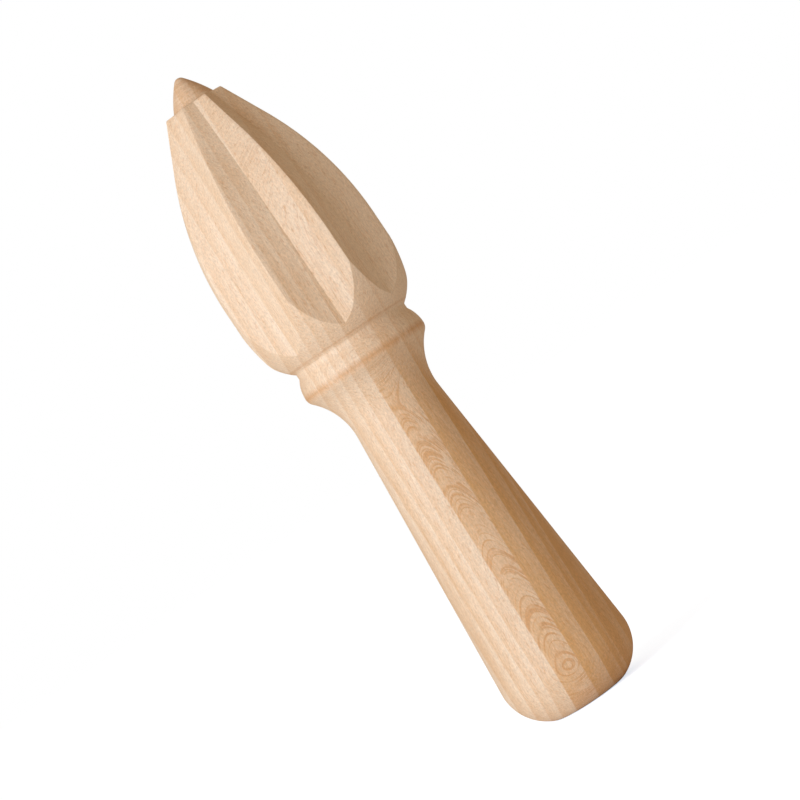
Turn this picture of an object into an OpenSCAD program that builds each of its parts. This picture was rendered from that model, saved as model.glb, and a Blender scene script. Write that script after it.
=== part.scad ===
// Wooden citrus reamer, turned from one billet of beech and then milled with V-shaped flutes.
// It stands on the flat end of its handle with the tip up, and the middle of that flat end is
// the origin. All lengths are in millimetres. The outline is built from the handle's end to the
// tip, and each stretch starts where the one below it stops.

/* [Handle] */
// Diameter of the flat face at the handle's end
end_flat_d = 16; // [12:0.1:20]
// Radius of the rounding next to the flat face
end_corner_r = 4; // [2:0.1:5]
// Radius of the swelling between that rounding and the taper
end_side_r = 11.2; // [9:0.1:14]
// Largest diameter of the handle
handle_d = 32.1; // [28:0.1:36]

/* [Waist] */
// Height of the waist's thinnest place above the flat face
waist_z = 77.6; // [60:0.1:95]
// Diameter of the waist's thinnest place
waist_d = 21.4; // [18:0.1:24]
// Radius of the hollow that sweeps up from the waist to the bead
cove_r = 15; // [10:0.1:20]

/* [Bead] */
// Largest diameter of the bead
bead_d = 31.3; // [29:0.1:34]
// Radius of the bead's lower edge
bead_edge_r = 2.5; // [1.5:0.1:4]
// Radius of the bead's upper side
bead_top_r = 8.3; // [6:0.1:11]

/* [Groove] */
// Diameter at the bottom of the groove between bead and head
groove_d = 28.7; // [26:0.1:29]
// Height of the groove's straight bottom
groove_h = 1.2; // [0.6:0.1:2.5]

/* [Head] */
// Diameter of the head before the flutes are cut
head_d = 43; // [41:0.1:46]
// Height of the head from the groove to the crown
head_l = 62.4; // [55:0.1:70]
// Angle at which the shoulder rises out of the groove, from the axis
shoulder_angle = 52; // [45:1:60]
// Radius of the shoulder above the groove
shoulder_r = 14; // [10:0.1:15]
// Radius of the belly between the shoulder and the widest place
belly_r = 40; // [36:1:60]

/* [Flutes] */
// Number of flutes round the head
flute_count = 8; // [6:1:10]
// Angle between the two walls of a flute
flute_angle = 150; // [140:1:160]
// Diameter across the roots of the flutes where they run parallel to the axis
flute_root_d = 34.6; // [33:0.1:36]
// Height above the groove at which the roots start to bend inwards
flute_straight_l = 20; // [16:0.1:24]
// Radius of that bend
flute_bend_r = 82.5; // [75:0.5:90]
// Angle to which the roots lean inwards on the way to the crown
flute_lean = 22.8; // [18:0.1:24]

/* [Tip] */
// Diameter of the tip where it stands on the crown
tip_base_d = 10.8; // [8:0.1:12]
// Height of the tip above the crown
tip_l = 6.9; // [6:0.1:9]
// Radius of the tip's rounded side
tip_side_r = 32; // [20:1:50]
// Radius of the tip's point
tip_point_r = 1.5; // [0.8:0.1:2.2]

/* [Hidden] */
$fn = 96;

beech = [0.87, 0.76, 0.62];

// An arc is drawn with steps no longer and no wider than these
arc_step_l = 1.2;
arc_step_angle = 6;
// How far a cut runs past the face that it leaves by
overrun = 1;

// Handle: the corner rounding sits inside the swelling and touches it
end_flat_r = end_flat_d / 2;
handle_r = handle_d / 2;
corner_centre = [end_flat_r, end_corner_r];
swell_x = handle_r - end_side_r;
swell_z = end_corner_r + sqrt(pow(end_side_r - end_corner_r, 2) - pow(end_flat_r - swell_x, 2));
swell_centre = [swell_x, swell_z];
corner_turn = direction(swell_centre, corner_centre);

// Taper: one straight line that touches the swelling and the waist's hollow
waist_r = waist_d / 2;
cove_centre = [waist_r + cove_r, waist_z];
centres_l = norm(cove_centre - swell_centre);
taper = direction(swell_centre, cove_centre) - acos((end_side_r + cove_r) / centres_l);

// Bead: its lower edge continues the hollow's sweep, bent the other way
bead_r = bead_d / 2;
groove_r = groove_d / 2;
cove_sweep = acos(1 - (bead_r - waist_r) / (cove_r + bead_edge_r));
bead_z = waist_z + (cove_r + bead_edge_r) * sin(cove_sweep);
bead_top_sweep = acos(1 - (bead_r - groove_r) / bead_top_r);

// Groove and head: the shoulder leaves the groove at its own angle and turns into the belly
groove_z = bead_z + bead_top_r * sin(bead_top_sweep);
shoulder_z = groove_z + groove_h;
head_r = head_d / 2;
shoulder_centre = [groove_r, shoulder_z] + shoulder_r * [-cos(shoulder_angle), sin(shoulder_angle)];
belly_turn = acos((belly_r - head_r + shoulder_centre[0]) / (belly_r - shoulder_r));
belly_centre = shoulder_centre + (belly_r - shoulder_r) * [-cos(belly_turn), sin(belly_turn)];
crown_z = shoulder_z + head_l;

// Tip: its side passes through the edge of its base and touches the round point
tip_base = [tip_base_d / 2, crown_z];
point_centre = [0, crown_z + tip_l - tip_point_r];
base_to_point = norm(point_centre - tip_base);
along = (point_centre - tip_base) / base_to_point;
inward = [-along[1], along[0]];
foot = (pow(tip_side_r, 2) - pow(tip_side_r - tip_point_r, 2) + pow(base_to_point, 2)) / (2 * base_to_point);
side_centre = tip_base + foot * along + sqrt(pow(tip_side_r, 2) - pow(foot, 2)) * inward;

// Flutes: the root runs straight, bends and runs straight again past the crown
flute_root_r = flute_root_d / 2;
bend_centre = [flute_root_r - flute_bend_r, shoulder_z + flute_straight_l];
bend_top = bend_centre + flute_bend_r * [cos(flute_lean), sin(flute_lean)];
root_top_z = crown_z + overrun;
root_top_r = bend_top[0] - (root_top_z - bend_top[1]) * tan(flute_lean);
wall_turn = flute_angle / 2;

// Angle of the line from one point to another
function direction(from, to) = atan2(to[1] - from[1], to[0] - from[0]);

// Points along an arc from one angle to another, both ends included
function arc(centre, r, from, to) =
    let (sweep = to - from)
    let (length = r * abs(sweep) * PI / 180)
    let (steps = max(ceil(length / arc_step_l), ceil(abs(sweep) / arc_step_angle)))
    [for (i = [0 : steps]) centre + r * [cos(from + sweep * i / steps), sin(from + sweep * i / steps)]];

// Half of the lengthwise section of the turned billet, radius against height
function billet_outline() = concat(
    [[0, 0]],
    arc(corner_centre, end_corner_r, -90, corner_turn),
    arc(swell_centre, end_side_r, corner_turn, taper),
    arc(cove_centre, cove_r, 180 + taper, 180 - cove_sweep),
    arc([bead_r - bead_edge_r, bead_z], bead_edge_r, -cove_sweep, 0),
    arc([bead_r - bead_top_r, bead_z], bead_top_r, 0, bead_top_sweep),
    arc(shoulder_centre, shoulder_r, -shoulder_angle, -belly_turn),
    arc(belly_centre, belly_r, -belly_turn, 0),
    [[head_r, crown_z]],
    arc(side_centre, tip_side_r, direction(side_centre, tip_base), direction(side_centre, point_centre)),
    arc(point_centre, tip_point_r, direction(side_centre, point_centre), 90)
);

module billet() {
    rotate_extrude() polygon(billet_outline());
}

// The root of a flute, radius against height, from the groove to above the crown
function root_line() = concat(
    [[flute_root_r, shoulder_z]],
    arc(bend_centre, flute_bend_r, 0, flute_lean),
    [[root_top_r, root_top_z]]
);

// All that lies outside one wall of a flute on the +X side. The wall is the root line carried
// along a level line that stands at half the flute's angle to the X axis
module outside_wall() {
    outline = [for (p = root_line()) [p[0] * sin(wall_turn), p[1]]];
    rotate([90, 0, wall_turn - 90]) linear_extrude(2 * head_d, center = true)
        polygon(concat(outline, [[head_d, root_top_z], [head_d, shoulder_z]]));
}

// What one flute takes away: the space outside both of its walls
module flute_cut() {
    intersection() {
        outside_wall();
        mirror([0, 1, 0]) outside_wall();
    }
}

// The whole reamer, with the root of one flute facing -Y
module reamer() {
    color(beech)
    difference() {
        billet();
        for (i = [0 : flute_count - 1]) rotate([0, 0, 360 * i / flute_count - 90]) flute_cut();
    }
}

reamer();
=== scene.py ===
"""Wooden citrus reamer: the finished surface, its beech and the stage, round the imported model.

Everything is in metres in the model's own frame: the axis runs up Z from the middle of the
handle's flat end to the tip, and the root of one flute faces -Y. A name that ends in _MM is in
millimetres, as is every place inside the beech.
"""
import math

import bpy
import numpy as np
from mathutils import Matrix, Vector


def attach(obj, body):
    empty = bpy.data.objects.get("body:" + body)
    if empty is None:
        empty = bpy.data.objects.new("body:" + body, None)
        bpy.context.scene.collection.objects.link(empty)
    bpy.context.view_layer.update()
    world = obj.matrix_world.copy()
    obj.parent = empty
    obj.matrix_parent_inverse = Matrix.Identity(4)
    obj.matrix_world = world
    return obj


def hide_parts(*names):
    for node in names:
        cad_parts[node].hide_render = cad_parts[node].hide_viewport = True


bl_info = {
    "name": "Wooden Citrus Reamer",
    "version": (1, 0, 0),
    "blender": (4, 5, 0),
    "location": "View3D > Sidebar > Reamer",
    "description": "Makes a turned and fluted beech citrus reamer and the stage that it stands on",
    "category": "Object",
}

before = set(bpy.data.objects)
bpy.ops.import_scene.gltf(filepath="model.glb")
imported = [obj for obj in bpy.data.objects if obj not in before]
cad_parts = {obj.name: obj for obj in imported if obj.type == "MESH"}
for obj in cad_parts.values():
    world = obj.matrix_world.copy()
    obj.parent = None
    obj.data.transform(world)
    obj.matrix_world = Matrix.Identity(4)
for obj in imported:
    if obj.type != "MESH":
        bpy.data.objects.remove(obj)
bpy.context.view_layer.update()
MM = 0.001

# The photograph's camera looks level, from a place turned this far from -Y towards -X
VIEW_TURN = math.radians(3.9)
# How far it is rolled, and what it looks at: to the right of the axis, and above the floor
ROLL = math.radians(33.85)
AIM = (1.67 * MM, 78.2 * MM)
# Directions of that view: towards the camera, to its right, and up
BACK = Vector((-math.sin(VIEW_TURN), -math.cos(VIEW_TURN), 0))
RIGHT = Vector((math.cos(VIEW_TURN), -math.sin(VIEW_TURN), 0))
UP = Vector((0, 0, 1))

SENSOR_MM = 36.0
CLIP = (0.01, 20.0)
# Where the lamp stands, in shares of those three directions
LAMP_SIDE = (0.72, -0.68, 0.20)
FLOOR_HALF = 4.0
# The floor's brightness where no shadow falls: just past white, so that it stays clean
FLOOR_WHITE = 1.01

# Steps of the arcs along the outline
ARC_STEP = math.radians(3)
CORNER_STEP = math.radians(6)
TIP_SIDE_STEP = math.radians(1)
TIP_POINT_STEP = math.radians(9)

# Columns in half a flute, and how strongly they crowd at the root and at the ridge
HALF_FLUTE_COLUMNS = 16
CROWDING = 0.9
# Rows of the handle's taper, of the shoulder, of the flutes' mouths and of the walls above them
TAPER_ROWS = 26
SHOULDER_ROWS = 34
MOUTH_ROWS = 34
WALL_ROWS = 56
# Powers that crowd the rows towards the line where the flutes run out
SHOULDER_SPREAD = 0.8
MOUTH_SPREAD = 1.6
# How far above the start of the roots' bend the mouths' rows end
MOUTH_TOP = 8 * MM
# How far below the crown the walls' rows end, and how far in from its ends the groove's rows are
WALL_END = 0.3 * MM
GROOVE_INSET = 0.15 * MM
# Rows in the flat end and in the crown, as shares of the way
FLAT_SHARES = (0.25, 0.5, 0.75, 0.97)
CROWN_SHARES = (0.5, 0.9)
# The crown's rounded rim: how far in each row is, and how far down
RIM_ROUNDING_MM = ((0.03, 0.1), (0.1, 0.02), (0.25, 0))
# Width of a worn ridge, in times the depth of the wear
WEAR_WIDTH = 2.2
# Halvings in the search for the line where the flutes run out
HALVINGS = 48
# Points less than this far below the crown count as part of it
CROWN_MARGIN = 0.005 * MM


def length(name, description, default_mm):
    """A size property that is written in millimetres and kept in metres."""
    return bpy.props.FloatProperty(name=name, description=description, default=default_mm * MM,
                                   min=0, unit="LENGTH", precision=4)


def angle(name, description, default_deg):
    """An angle property that is written in degrees and kept in radians."""
    return bpy.props.FloatProperty(name=name, description=description,
                                   default=math.radians(default_deg), subtype="ANGLE")


def colour(name, description, default):
    """A colour property."""
    return bpy.props.FloatVectorProperty(name=name, description=description, default=default,
                                         size=3, min=0, max=1, subtype="COLOR")


class ReamerSizes(bpy.types.PropertyGroup):
    """Sizes of the turned billet and of its flutes."""
    end_flat_d: length("End flat", "Diameter of the flat face at the handle's end", 16)
    end_corner_r: length("End corner", "Radius of the rounding next to the flat face", 4)
    end_side_r: length("End swelling", "Radius of the swelling above the rounding", 11.2)
    handle_d: length("Handle", "Largest diameter of the handle", 32.1)
    waist_z: length("Waist height", "Height of the waist's thinnest place", 77.6)
    waist_d: length("Waist", "Diameter of the waist's thinnest place", 21.4)
    cove_r: length("Cove", "Radius of the hollow between waist and bead", 15)
    bead_d: length("Bead", "Largest diameter of the bead", 31.3)
    bead_edge_r: length("Bead edge", "Radius of the bead's lower edge", 2.5)
    bead_top_r: length("Bead top", "Radius of the bead's upper side", 8.3)
    groove_d: length("Groove", "Diameter at the bottom of the groove", 28.7)
    groove_h: length("Groove height", "Height of the groove's straight bottom", 1.2)
    head_d: length("Head", "Diameter of the head before the flutes are cut", 43)
    head_l: length("Head length", "Height of the head from the groove to the crown", 62.4)
    shoulder_angle: angle("Shoulder angle", "Angle of the shoulder at the groove, from the axis", 52)
    shoulder_r: length("Shoulder", "Radius of the shoulder above the groove", 14)
    belly_r: length("Belly", "Radius between the shoulder and the widest place", 40)
    flute_count: bpy.props.IntProperty(name="Flutes", description="Number of flutes round the head",
                                       default=8, min=6, max=10)
    flute_angle: angle("Flute angle", "Angle between the two walls of a flute", 150)
    flute_root_d: length("Flute roots", "Diameter across the roots where they run straight", 34.6)
    flute_straight_l: length("Straight roots", "Height above the groove where the roots bend", 20)
    flute_bend_r: length("Root bend", "Radius of the bend of the roots", 82.5)
    flute_lean: angle("Root lean", "Angle at which the roots lean inwards at the crown", 22.8)
    tip_base_d: length("Tip base", "Diameter of the tip where it stands on the crown", 10.8)
    tip_l: length("Tip", "Height of the tip above the crown", 6.9)
    tip_side_r: length("Tip side", "Radius of the tip's rounded side", 32)
    tip_point_r: length("Tip point", "Radius of the tip's point", 1.5)
    edge_soft: length("Edge wear", "How much of each ridge the sanding has taken off", 0.12)
    tip_aside: length("Tip aside", "How far the tip was turned off the head's axis", 0.33)


class BeechLook(bpy.types.PropertyGroup):
    """Colours of the bare beech."""
    pale: colour("Pale wood", "Colour of the palest part of a growth ring", (0.85, 0.67, 0.49))
    ring: colour("Ring line", "Colour just past a growth ring's line", (0.68, 0.39, 0.165))
    ray: colour("Rays", "Colour of the ray flecks", (0.60, 0.28, 0.09))


class StageLook(bpy.types.PropertyGroup):
    """Floor, light and camera."""
    floor: colour("Floor", "Colour of the floor", (0.93, 0.93, 0.93))
    sky: bpy.props.FloatProperty(name="Sky", description="Strength of the even light all round",
                                 default=0.42, min=0)
    sky_tint: colour("Sky tint", "Colour of the even light, a little warm", (1.0, 0.77, 0.54))
    key: bpy.props.FloatProperty(name="Key lamp", description="Power of the large soft lamp",
                                 default=8.5, min=0, unit="POWER")
    key_tint: colour("Key tint", "Colour of the large soft lamp", (0.77, 0.86, 1.0))
    key_size: length("Key size", "Diameter of the large soft lamp", 600)
    key_away: length("Key distance", "Distance from the lamp to the reamer's axis", 1000)
    lens: bpy.props.FloatProperty(name="Lens", description="Focal length of the camera",
                                  default=137.0, min=10, unit="CAMERA")
    distance: length("Distance", "Distance from the camera to the reamer's axis", 674)


def arc(centre, radius, start, stop, step=ARC_STEP):
    """Points on a circle: centre plus radius times the cosine and sine of evenly spaced angles."""
    turns = np.linspace(start, stop, max(3, math.ceil(abs(stop - start) / step) + 1))
    return np.column_stack([centre[0] + radius * np.cos(turns), centre[1] + radius * np.sin(turns)])


def heading(start, stop):
    """Angle of the line from one point to another."""
    return math.atan2(stop[1] - start[1], stop[0] - start[0])


class Outline:
    """The lengthwise section of the reamer, worked out from its sizes from the bottom up.

    Each point is a radius and a height. Where two arcs touch, their centres lie on one line through
    the point where they touch, so each centre follows from the one before it."""

    def __init__(self, s):
        self.s = s
        self.flat_r = s.end_flat_d / 2
        self.waist_r = s.waist_d / 2
        self.bead_r = s.bead_d / 2
        self.groove_r = s.groove_d / 2
        self.head_r = s.head_d / 2

        # Handle: the corner's circle lies inside the swelling's and touches it
        self.corner = np.array([self.flat_r, s.end_corner_r])
        swell_x = s.handle_d / 2 - s.end_side_r
        rise = math.sqrt((s.end_side_r - s.end_corner_r) ** 2 - (self.flat_r - swell_x) ** 2)
        self.swell = np.array([swell_x, s.end_corner_r + rise])
        self.corner_turn = heading(self.swell, self.corner)

        # Taper: the straight line that touches the swelling and the waist's hollow
        self.cove = np.array([self.waist_r + s.cove_r, s.waist_z])
        between = np.linalg.norm(self.cove - self.swell)
        self.taper = heading(self.swell, self.cove) - math.acos((s.end_side_r + s.cove_r) / between)

        # Bead and groove
        self.cove_sweep = math.acos(1 - (self.bead_r - self.waist_r) / (s.cove_r + s.bead_edge_r))
        self.bead_z = s.waist_z + (s.cove_r + s.bead_edge_r) * math.sin(self.cove_sweep)
        self.top_sweep = math.acos(1 - (self.bead_r - self.groove_r) / s.bead_top_r)
        self.groove_z = self.bead_z + s.bead_top_r * math.sin(self.top_sweep)
        self.shoulder_z = self.groove_z + s.groove_h

        # Head: the shoulder's circle lies inside the belly's and touches it
        away = np.array([-math.cos(s.shoulder_angle), math.sin(s.shoulder_angle)])
        self.shoulder = np.array([self.groove_r, self.shoulder_z]) + s.shoulder_r * away
        spare = s.belly_r - s.shoulder_r
        self.belly_turn = math.acos((s.belly_r - self.head_r + self.shoulder[0]) / spare)
        turned = np.array([-math.cos(self.belly_turn), math.sin(self.belly_turn)])
        self.belly = self.shoulder + spare * turned
        self.crown_z = self.shoulder_z + s.head_l

        # Tip: its side passes through the edge of its base and touches the round point
        self.tip_base = np.array([s.tip_base_d / 2, self.crown_z])
        self.point = np.array([0, self.crown_z + s.tip_l - s.tip_point_r])
        run = np.linalg.norm(self.point - self.tip_base)
        along = (self.point - self.tip_base) / run
        foot = (s.tip_side_r ** 2 - (s.tip_side_r - s.tip_point_r) ** 2 + run ** 2) / (2 * run)
        inward = np.array([-along[1], along[0]])
        depth = math.sqrt(s.tip_side_r ** 2 - foot ** 2)
        self.tip_side = self.tip_base + foot * along + depth * inward

        # Flute roots: straight up, then a bend, then a straight lean
        self.bend = np.array([s.flute_root_d / 2 - s.flute_bend_r, self.shoulder_z + s.flute_straight_l])
        lean = np.array([math.cos(s.flute_lean), math.sin(s.flute_lean)])
        self.bend_top = self.bend + s.flute_bend_r * lean

    def handle(self):
        """Radius and height from the edge of the flat end up to the groove, arc after arc."""
        s = self.s
        bead_edge = [self.bead_r - s.bead_edge_r, self.bead_z]
        bead_top = [self.bead_r - s.bead_top_r, self.bead_z]
        corner = arc(self.corner, s.end_corner_r, -math.pi / 2, self.corner_turn, CORNER_STEP)
        swell = arc(self.swell, s.end_side_r, self.corner_turn, self.taper)[1:]
        cove = arc(self.cove, s.cove_r, math.pi + self.taper, math.pi - self.cove_sweep)
        edge = arc(bead_edge, s.bead_edge_r, -self.cove_sweep, 0)[1:]
        top = arc(bead_top, s.bead_top_r, 0, self.top_sweep)[1:]
        taper = np.linspace(swell[-1], cove[0], TAPER_ROWS)[1:-1]
        return np.vstack([corner, swell, taper, cove, edge, top])

    def turned(self, z):
        """Radius of the billet at a height of the head: the shoulder's circle, the belly's, then level.

        On a circle the radius is its centre's plus the root of r squared less the height squared."""
        s = self.s
        split = self.shoulder[1] - s.shoulder_r * math.sin(self.belly_turn)
        low = self.shoulder[0] + np.sqrt(np.maximum(s.shoulder_r ** 2 - (z - self.shoulder[1]) ** 2, 0))
        high = self.belly[0] + np.sqrt(np.maximum(s.belly_r ** 2 - (z - self.belly[1]) ** 2, 0))
        return np.where(z < split, low, np.where(z < self.belly[1], high, self.head_r))

    def root(self, z):
        """Radius of a flute's root at a height: level, then the bend's circle, then a straight lean."""
        s = self.s
        curve = self.bend[0] + np.sqrt(np.maximum(s.flute_bend_r ** 2 - (z - self.bend[1]) ** 2, 0))
        lean = self.bend_top[0] - (z - self.bend_top[1]) * math.tan(s.flute_lean)
        bent = np.where(z < self.bend_top[1], curve, lean)
        return np.where(z < self.bend[1], s.flute_root_d / 2, bent)

    def tip(self):
        """Radius and height from the tip's base up to its point, without the point itself."""
        s = self.s
        start = heading(self.tip_side, self.tip_base)
        stop = heading(self.tip_side, self.point)
        side = arc(self.tip_side, s.tip_side_r, start, stop, TIP_SIDE_STEP)
        point = arc(self.point, s.tip_point_r, stop, math.pi / 2, TIP_POINT_STEP)[1:-1]
        return np.vstack([side, point])


def columns(count):
    """Angles round the axis and how far each lies from its flute's root.

    In half a flute the angle is t less the crowding times sin(2 pi t) / (2 pi), times the half
    flute's angle, so that the columns stand closer at the root and at the ridge."""
    half_angle = math.pi / count
    t = np.arange(HALF_FLUTE_COLUMNS + 1) / HALF_FLUTE_COLUMNS
    rise = half_angle * (t - CROWDING * np.sin(2 * math.pi * t) / (2 * math.pi))
    one = np.concatenate([-rise[:0:-1], rise[:-1]])
    offsets = np.tile(one, count)
    middles = np.repeat(np.arange(count) * 2 * half_angle - math.pi / 2, len(one))
    return middles + offsets, np.abs(offsets)


def reamer_grid(sizes):
    """The whole surface as rows of radius and height over columns of angle.

    On the head the radius is the smaller of the turned radius and the flute wall's,
    root(z) sin(b) / sin(b - a), where b is half the flute's angle and a the angle from its root.
    One row follows the line where the two meet, and the rows on both sides are spread evenly."""
    line = Outline(sizes)
    turn, off = columns(sizes.flute_count)
    wall = math.sin(sizes.flute_angle / 2) / np.sin(sizes.flute_angle / 2 - off)
    half_angle = math.pi / sizes.flute_count

    def level(value):
        """The same value in every column."""
        return np.full(len(turn), value)

    def circles(points):
        """Rows of plain circles."""
        return [(level(radius), level(z)) for radius, z in points]

    def worn(z):
        """The flute walls with each ridge rounded over, by a bell curve of the distance from it."""
        radius = line.root(z) * wall
        away = (half_angle - off) * radius
        return radius - sizes.edge_soft * np.exp(-(away / (WEAR_WIDTH * sizes.edge_soft)) ** 2)

    def run_out():
        """Height in each column where the walls meet the turned shoulder, found by halving."""
        low, high = level(line.shoulder_z), level(line.crown_z)
        for _ in range(HALVINGS):
            middle = (low + high) / 2
            outside = line.turned(middle) > worn(middle)
            low, high = np.where(outside, low, middle), np.where(outside, middle, high)
        return (low + high) / 2

    rows = circles([(line.flat_r * share, 0) for share in FLAT_SHARES])
    rows += circles(line.handle())
    rows += circles([(line.groove_r, line.groove_z + GROOVE_INSET),
                     (line.groove_r, line.shoulder_z - GROOVE_INSET)])

    meet = run_out()
    for share in np.linspace(0, 1, SHOULDER_ROWS)[:-1] ** SHOULDER_SPREAD:
        z = line.shoulder_z + (meet - line.shoulder_z) * share
        rows.append((line.turned(z), z))
    open_z = line.shoulder_z + sizes.flute_straight_l + MOUTH_TOP
    for share in np.linspace(0, 1, MOUTH_ROWS)[:-1] ** MOUTH_SPREAD:
        z = meet + (open_z - meet) * share
        rows.append((worn(z), z))
    for z in np.linspace(open_z, line.crown_z - WALL_END, WALL_ROWS):
        rows.append((worn(level(z)), level(z)))

    rim = worn(level(line.crown_z))
    base = line.tip_base[0]
    for inset, drop in RIM_ROUNDING_MM:
        rows.append((rim - inset * MM, level(line.crown_z - drop * MM)))
    for share in CROWN_SHARES:
        rows.append((rim + (base - rim) * share, level(line.crown_z)))
    rows += circles(line.tip())

    radius, height = (np.array(values) for values in zip(*rows))
    above = height > line.crown_z - CROWN_MARGIN
    aside = sizes.tip_aside * np.clip((rim - radius) / (rim - base), 0, 1) * above
    points = np.stack([radius * np.cos(turn) + aside, radius * np.sin(turn), height], axis=-1)
    return points, [0, 0, 0], [sizes.tip_aside, 0, line.crown_z + sizes.tip_l]


def closed_mesh(name, points, low_pole, high_pole):
    """Rows of points joined by four-sided faces, with a pole in the flat end and one at the tip."""
    rows, cols = points.shape[:2]
    points = np.vstack([points.reshape(-1, 3), low_pole, high_pole])
    here = np.arange(rows * cols).reshape(rows, cols)
    after = np.roll(here, -1, axis=1)
    quads = np.stack([here[:-1], after[:-1], after[1:], here[1:]], axis=-1).reshape(-1, 4)
    bottom = np.column_stack([np.full(cols, rows * cols), after[0], here[0]])
    tip = np.column_stack([here[-1], after[-1], np.full(cols, rows * cols + 1)])
    corners = np.concatenate([quads.ravel(), bottom.ravel(), tip.ravel()])
    sizes = np.concatenate([np.full(len(quads), 4), np.full(2 * cols, 3)])
    starts = np.concatenate([[0], np.cumsum(sizes)[:-1]])

    mesh = bpy.data.meshes.new(name)
    mesh.vertices.add(len(points))
    mesh.vertices.foreach_set("co", points.ravel())
    mesh.loops.add(len(corners))
    mesh.loops.foreach_set("vertex_index", corners.astype(np.int32))
    mesh.polygons.add(len(sizes))
    mesh.polygons.foreach_set("loop_start", starts.astype(np.int32))
    mesh.polygons.foreach_set("use_smooth", np.ones(len(sizes), bool))
    mesh.update(calc_edges=True)
    mesh.validate()
    return placed(name, mesh)


def placed(name, data):
    """A new object of the scene with that mesh, lamp or camera."""
    thing = bpy.data.objects.new(name, data)
    bpy.context.scene.collection.objects.link(thing)
    return thing


class Value:
    """A socket that takes part in Python sums: each operator adds its Math node."""

    def __init__(self, tree, socket):
        self.tree = tree
        self.socket = socket

    def __add__(self, other):
        return self.tree.maths("ADD", self, other)

    def __radd__(self, other):
        return self.tree.maths("ADD", other, self)

    def __sub__(self, other):
        return self.tree.maths("SUBTRACT", self, other)

    def __rsub__(self, other):
        return self.tree.maths("SUBTRACT", other, self)

    def __mul__(self, other):
        return self.tree.maths("MULTIPLY", self, other)

    def __rmul__(self, other):
        return self.tree.maths("MULTIPLY", other, self)

    def __truediv__(self, other):
        return self.tree.maths("DIVIDE", self, other)

    def __pow__(self, other):
        return self.tree.maths("POWER", self, other)

    def step(self, low, high):
        """A smooth step from 0 at low to 1 at high."""
        return self.tree.node("ShaderNodeMapRange", {"interpolation_type": "SMOOTHSTEP"},
                              {"Value": self, "From Min": low, "From Max": high})

    def peak(self, at, slope):
        """1 less the slope times the distance from at, and nowhere below 0."""
        away = self.tree.maths("ABSOLUTE", self - at)
        return self.tree.maths("MAXIMUM", 1.0 - away * slope, 0.0)


class Tree:
    """The nodes of a material or a world."""

    def __init__(self, owner):
        self.owner = owner
        owner.use_nodes = True
        self.nodes = owner.node_tree.nodes
        self.links = owner.node_tree.links
        self.nodes.clear()

    def node(self, kind, settings=None, inputs=None, output=0):
        """A node of that kind, its settings first, then the values or links of its sockets.

        The setting called stops holds a ramp's stops, each a place and a grey level."""
        made = self.nodes.new(kind)
        for key, setting in (settings or {}).items():
            if key == "stops":
                self.set_stops(made.color_ramp.elements, setting)
            else:
                setattr(made, key, setting)
        for key, given in (inputs or {}).items():
            socket = made.inputs[key]
            if isinstance(given, Value):
                self.links.new(given.socket, socket)
            elif socket.type == "RGBA":
                socket.default_value = (*given, 1)
            else:
                socket.default_value = given
        return Value(self, made.outputs[output]) if made.outputs else None

    @staticmethod
    def set_stops(elements, stops):
        """Moves a ramp's first two stops to the ends of the list and adds the rest between them."""
        for element, (place, grey) in zip(elements, (stops[0], stops[-1])):
            element.position = place
            element.color = (grey, grey, grey, 1)
        for place, grey in stops[1:-1]:
            elements.new(place).color = (grey, grey, grey, 1)

    def maths(self, operation, *terms):
        """A Math node on numbers and values."""
        return self.node("ShaderNodeMath", {"operation": operation}, dict(enumerate(terms)))

    def vector(self, x, y, z):
        """Three values as a vector."""
        return self.node("ShaderNodeCombineXYZ", None, {0: x, 1: y, 2: z})

    def parts(self, vector):
        """The three values of a vector."""
        first = self.node("ShaderNodeSeparateXYZ", None, {0: vector})
        return [Value(self, socket) for socket in first.socket.node.outputs]

    def mix(self, share, a, b):
        """Colour a, turning into colour b as the share goes from 0 to 1.

        A Mix node's sockets 0, 6 and 7 and its output 2 are the ones for colours."""
        return self.node("ShaderNodeMix", {"data_type": "RGBA"}, {0: share, 6: a, 7: b}, 2)

    def shade(self, colour, factor):
        """A colour made brighter or darker."""
        return self.node("ShaderNodeVectorMath", {"operation": "SCALE"},
                         {"Vector": colour, "Scale": factor})

    def noise(self, vector, octaves, gain):
        """Noise from 0 to 1, with one lump to each unit of the vector."""
        return self.node("ShaderNodeTexNoise", None,
                         {"Vector": vector, "Scale": 1.0, "Detail": octaves, "Roughness": gain})


# Growth-ring lines on the front, from left to right of the axis, and half the width they span
RING_LINES_MM = (-19, -15.5, -12.3, -9.6, -7.0, -4.4, -1.0, 4.8, 9.1, 12.0, 13.6, 17.0, 20.5)
RING_SPAN_MM = 24
# In shares of the ramp, how far before a line it is still pale and how far after it is darkest
RING_BEFORE = 0.0015
RING_AFTER = 0.0025
# The rings' middle, to the right; their lean to the axis; the height at which they stand at the
# places above, less the shift; and how far they stray
PITH_MM = 400.0
RING_LEAN = 0.035
RING_LEVEL_MM = 81.4
RING_SHIFT_MM = 0.2
RING_STRAY_MM = 0.7

# Ring places past which the handle's wood is darker, by how much, and half the change's width
TONES_MM = ((-1.05, 0.22), (4.85, 0.22), (9.15, 0.18))
TONE_EDGE_MM = 0.15
# Heights between which the handle's wood turns into the head's, and the burnished tip begins
GRIP_MM = (70, 100)
TIP_MM = (157.6, 158.2)
# Ring places between which the head's right side begins. There, painted light makes the wood paler, and
# its fibres are more streaked
SIDE_MM = (8.0, 12.0)
SIDE_PAINTED_LIGHT = 0.30
SIDE_STREAKS = 0.9
# Height of the bead's burnished band and of the painted shade in the corner where the head meets the
# groove, and how fast each fades
BEAD_BAND = (89.6, 0.75)
PAINTED_CREASE_SHADE = (96.3, 2.5)
# A ray is seen where the sheet pattern crosses its middle, and how fast it fades from there
RAY_CROSSING = (0.5, 18.0)
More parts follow.
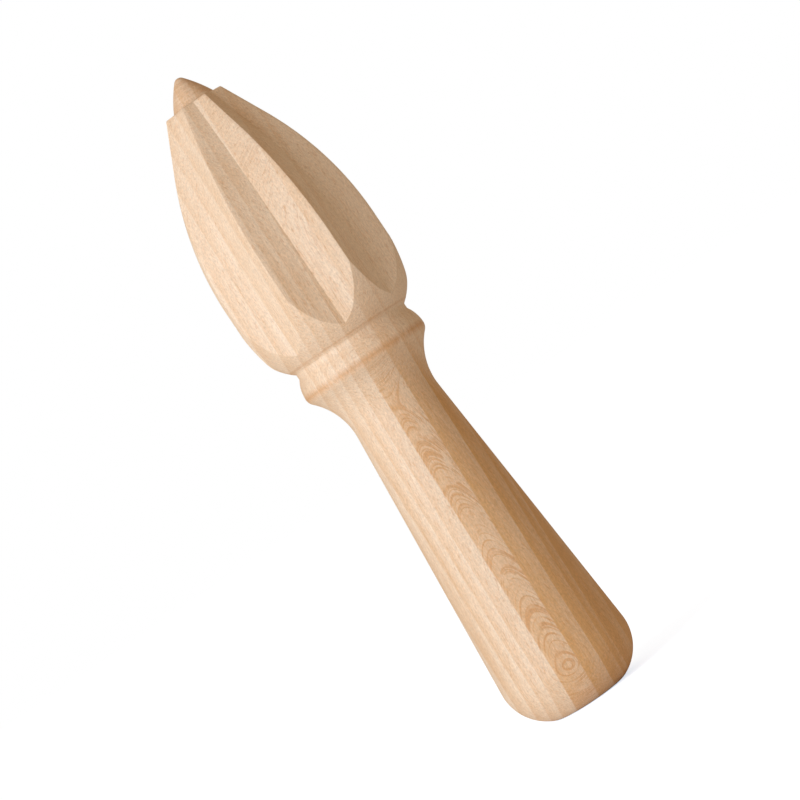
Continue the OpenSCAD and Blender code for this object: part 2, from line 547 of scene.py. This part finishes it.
# How far the fibres push the sheets about, and how strong rays are beside the front band, where
# their strength on it is 1
SHEET_SWAY = 0.12
RAYS_BESIDE = 0.25

# Noise patterns: lumps to the millimetre across, in depth and along, their octaves, and how much
# each octave adds
GRAIN = {
    "stray": ((0.05, 0.05, 0.012), 2.0, 0.5),
    "fibre": ((2.6, 2.6, 0.09), 4.0, 0.65),
    "speck": ((3.1, 3.1, 1.5), 3.0, 0.75),
    "cloud": ((0.10, 0.22, 0.035), 3.0, 0.55),
    "sheet": ((0.03, 4.2, 0.015), 2.0, 0.6),
    "broken": ((0.25, 1.3, 0.25), 2.0, 0.55),
    "dash": ((0.9, 5.0, 0.5), 1.0, 0.5),
    "pores": ((4.0, 4.0, 0.33), 1.0, 0.5),
    "tip": ((0.2, 0.2, 1.4), 3.0, 0.6),
}
# Between which levels each pattern, or the use that is made of it, goes from nothing to full
CUT = {
    "broken": (0.32, 0.52),
    "glow": (0.50, 0.62),
    "dash": (0.60, 0.72),
    "pores": (0.62, 0.74),
    "tip": (0.25, 0.6),
    "burnish": (0.25, 0.5),
    "cloud": (0.35, 0.75),
}
# How strongly each figure colours the wood, on the head and on the handle
STRENGTH = {
    "ring": (0.30, 0.44),
    "fibre": (0.78, 0.78),
    "cloud": (0.18, 0.18),
    "glow": (0.04, 0.12),
    "rays": (0.28, 0.70),
    "dash": (0.26, 0.26),
    "pores": (0.28, 0.28),
    "tip": (0.34, 0.34),
    "burnish": (0.60, 0.60),
    # Painted shade in the corner where the head's shoulder meets the groove
    "painted_crease_shade": (0.30, 0.30),
    "speck": (0.75, 0.75),
}
# Roughness, less at the rays and uneven along the fibres
ROUGH = 0.58
ROUGH_RAYS = 0.08
ROUGH_FIBRE = 0.12
SPECULAR = 0.4
# How far each pattern lifts or sinks the surface, in shares of the relief's depth
RELIEF = {"fibre": 0.4, "speck": 0.8, "dash": -0.3, "pores": -0.4}
RELIEF_STRENGTH = 0.4
RELIEF_DEPTH = 0.12 * MM


def beech_material(look):
    """Bare beech, cut from the plank with its growth rings edge-on to the photograph's camera.

    Ring lines are cylinders round a pith far to the right. Rays are thin sheets that face the camera,
    so that they show as nested arcs on the front and as fine dashes on the sides."""
    t = Tree(bpy.data.materials.new("beech"))
    place = t.node("ShaderNodeTexCoord", None, None, "Object")
    x, y, z = t.parts(t.node("ShaderNodeMapping", None, {
        "Vector": place, "Rotation": (0, 0, VIEW_TURN), "Scale": (1 / MM, 1 / MM, 1 / MM)}))

    def grain(name, sway=None):
        """A noise pattern at each place of the wood, pushed about in depth by the sway."""
        (across, deep, along), octaves, gain = GRAIN[name]
        depth = y * deep if sway is None else y * deep + sway
        return t.noise(t.vector(x * across, depth, z * along), octaves, gain)

    def past(at):
        """A change of tone at a ring line."""
        return ring.step(at - TONE_EDGE_MM, at + TONE_EDGE_MM)

    def share(name):
        """A figure's strength, which may go from one value on the head to another on the handle."""
        head, handle = STRENGTH[name]
        return head if head == handle else head + grip * (handle - head)

    around = ((PITH_MM - x) ** 2.0 + y * y) ** 0.5
    stray = (grain("stray") - 0.5) * RING_STRAY_MM
    ring = PITH_MM - around + (RING_LEVEL_MM - z) * RING_LEAN + RING_SHIFT_MM + stray
    stops = [(0.0, 0)]
    for line in RING_LINES_MM:
        at = (line + RING_SPAN_MM) / (2 * RING_SPAN_MM)
        stops += [(at - RING_BEFORE, 0), (at + RING_AFTER, 1)]
    stops.append((1.0, 1))
    late = t.node("ShaderNodeValToRGB", {"stops": stops},
                  {0: (ring + RING_SPAN_MM) / (2.0 * RING_SPAN_MM)})

    grip = 1.0 - z.step(*GRIP_MM)
    # The head's right side, which is lightened there as painted light and given stronger fibre streaks
    side = ring.step(*SIDE_MM) * (1.0 - grip)
    front = past(TONES_MM[0][0]) * (1.0 - past(TONES_MM[1][0]))
    heart = sum(past(at) * darker for at, darker in TONES_MM) * grip

    fibre = grain("fibre")
    speck = grain("speck")
    cloud = grain("cloud")
    sheet = grain("sheet", fibre * SHEET_SWAY)
    broken = grain("broken").step(*CUT["broken"])
    rays = sheet.peak(*RAY_CROSSING) * broken * (front * (1 - RAYS_BESIDE) + RAYS_BESIDE)
    glow = sheet.step(*CUT["glow"]) * front
    dash = grain("dash").step(*CUT["dash"])
    pores = grain("pores").step(*CUT["pores"])
    tip = z.step(*TIP_MM) * grain("tip").step(*CUT["tip"])
    burnish = z.peak(*BEAD_BAND) * cloud.step(*CUT["burnish"])
    # Painted shade: a thin dark line in the corner where the head's shoulder meets the groove
    painted_crease_shade = z.peak(*PAINTED_CREASE_SHADE)

    streak = (fibre - 0.5) * (side * SIDE_STREAKS + share("fibre"))
    dark = late * share("ring") + streak + cloud.step(*CUT["cloud"]) * share("cloud")
    # Here the side mask lightens the head's right side as painted light
    base = t.mix(dark + heart - side * SIDE_PAINTED_LIGHT, look.pale, look.ring)
    base = t.mix(glow * share("glow") + rays * share("rays"), base, look.ray)
    base = t.mix(dash * share("dash") + pores * share("pores"), base, look.ray)
    # The burnished tip and bead band are the wood's own tone. The last term is painted shade in the
    # corner above the groove, drawn in the ray colour
    marks_and_crease_shade = tip * share("tip") + burnish * share("burnish") + painted_crease_shade * share("painted_crease_shade")
    base = t.mix(marks_and_crease_shade, base, look.ray)
    base = t.shade(base, (speck - 0.5) * share("speck") + 1.0)

    patterns = {"fibre": fibre, "speck": speck, "dash": dash, "pores": pores}
    relief = sum(patterns[name] * lift for name, lift in RELIEF.items())
    bump = t.node("ShaderNodeBump", None, {
        "Height": relief, "Strength": RELIEF_STRENGTH, "Distance": RELIEF_DEPTH})
    rough = ROUGH - rays * ROUGH_RAYS + (fibre - 0.5) * ROUGH_FIBRE
    shader = t.node("ShaderNodeBsdfPrincipled", None, {
        "Base Color": base, "Roughness": rough, "Normal": bump, "Specular IOR Level": SPECULAR})
    t.node("ShaderNodeOutputMaterial", None, {"Surface": shader})
    return t.owner


def floor_material(look):
    """A pale matt floor that carries the shadow.

    To the camera it glows by just as much as the even light leaves it short of white, so that it
    is plain white where no shadow falls."""
    t = Tree(bpy.data.materials.new("pale_floor"))
    matt = t.node("ShaderNodeBsdfDiffuse", None, {"Color": look.floor})
    short = [FLOOR_WHITE - look.sky * tint * part for tint, part in zip(look.sky_tint, look.floor)]
    seen = t.node("ShaderNodeLightPath", None, None, "Is Camera Ray")
    glow = t.node("ShaderNodeEmission", None, {"Color": short, "Strength": seen})
    both = t.node("ShaderNodeAddShader", None, {0: matt, 1: glow})
    t.node("ShaderNodeOutputMaterial", None, {"Surface": both})
    return t.owner


def even_world(look):
    """Even warm light from all round, which the camera sees as plain white."""
    t = Tree(bpy.data.worlds.new("even_light"))
    seen = t.node("ShaderNodeLightPath", None, None, "Is Camera Ray")
    tint = t.mix(seen, look.sky_tint, (1, 1, 1))
    strength = seen * (1.0 - look.sky) + look.sky
    light = t.node("ShaderNodeBackground", None, {"Color": tint, "Strength": strength})
    t.node("ShaderNodeOutputWorld", None, {"Surface": light})
    return t.owner


class REAMER_OT_make_reamer(bpy.types.Operator):
    """Makes the turned and fluted body in beech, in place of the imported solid"""
    bl_idname = "reamer.make_reamer"
    bl_label = "Make Reamer"

    def execute(self, context):
        scene = context.scene
        piece = closed_mesh("beech_reamer", *reamer_grid(scene.reamer_sizes))
        piece.data.materials.append(beech_material(scene.reamer_beech))
        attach(piece, "root")
        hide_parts("reamer")
        return {"FINISHED"}


class REAMER_OT_make_stage(bpy.types.Operator):
    """Makes the floor, the lamp, the white surroundings and the camera"""
    bl_idname = "reamer.make_stage"
    bl_label = "Make Stage"

    def execute(self, context):
        scene = context.scene
        look = scene.reamer_stage
        self.make_floor(look)
        self.make_lamp(look)
        scene.world = even_world(look)
        scene.camera = self.make_camera(look)
        scene.view_settings.view_transform = "Standard"
        return {"FINISHED"}

    def make_floor(self, look):
        """A level square under the reamer."""
        mesh = bpy.data.meshes.new("floor")
        half = FLOOR_HALF
        corners = [(-half, -half, 0), (half, -half, 0), (half, half, 0), (-half, half, 0)]
        mesh.from_pydata(corners, [], [(0, 1, 2, 3)])
        mesh.materials.append(floor_material(look))
        placed("floor", mesh)

    def make_lamp(self, look):
        """A large soft disk to the left of the camera, facing the reamer's middle."""
        lamp = bpy.data.lights.new("key_lamp", "AREA")
        lamp.shape = "DISK"
        lamp.size = look.key_size
        lamp.energy = look.key
        lamp.color = look.key_tint
        key = placed("key_lamp", lamp)
        away = sum((way * part for way, part in zip((BACK, RIGHT, UP), LAMP_SIDE)), Vector())
        away.normalize()
        key.location = UP * AIM[1] + away * look.key_away
        key.rotation_mode = "QUATERNION"
        key.rotation_quaternion = away.to_track_quat("Z", "Y")

    def make_camera(self, look):
        """The photograph's camera, level and rolled about its own line of sight."""
        camera = placed("camera", bpy.data.cameras.new("camera"))
        camera.data.lens = look.lens
        camera.data.sensor_width = SENSOR_MM
        camera.data.clip_start, camera.data.clip_end = CLIP
        side = RIGHT * math.cos(ROLL) - UP * math.sin(ROLL)
        top = RIGHT * math.sin(ROLL) + UP * math.cos(ROLL)
        camera.matrix_world = Matrix((side, top, BACK)).transposed().to_4x4()
        camera.location = BACK * look.distance + RIGHT * AIM[0] + UP * AIM[1]
        return camera


class REAMER_PT_panel(bpy.types.Panel):
    """Lists the reamer's operators and sizes"""
    bl_label = "Citrus Reamer"
    bl_space_type = "VIEW_3D"
    bl_region_type = "UI"
    bl_category = "Reamer"

    def draw(self, context):
        scene = context.scene
        for operator in (REAMER_OT_make_reamer, REAMER_OT_make_stage):
            self.layout.operator(operator.bl_idname)
        for group in (scene.reamer_sizes, scene.reamer_beech, scene.reamer_stage):
            box = self.layout.box()
            for name in group.bl_rna.properties.keys():
                if name not in ("rna_type", "name"):
                    box.prop(group, name)


GROUPS = {"reamer_sizes": ReamerSizes, "reamer_beech": BeechLook, "reamer_stage": StageLook}
CLASSES = (*GROUPS.values(), REAMER_OT_make_reamer, REAMER_OT_make_stage, REAMER_PT_panel)


def register():
    """Registers the classes and puts the sizes and colours on the scene."""
    for cls in CLASSES:
        bpy.utils.register_class(cls)
    for name, group in GROUPS.items():
        setattr(bpy.types.Scene, name, bpy.props.PointerProperty(type=group))


def unregister():
    """Takes back what register did."""
    for name in GROUPS:
        delattr(bpy.types.Scene, name)
    for cls in reversed(CLASSES):
        bpy.utils.unregister_class(cls)


def main():
    """Makes the reamer and its stage."""
    register()
    bpy.ops.reamer.make_reamer()
    bpy.ops.reamer.make_stage()


if __name__ == "__main__":
    main()
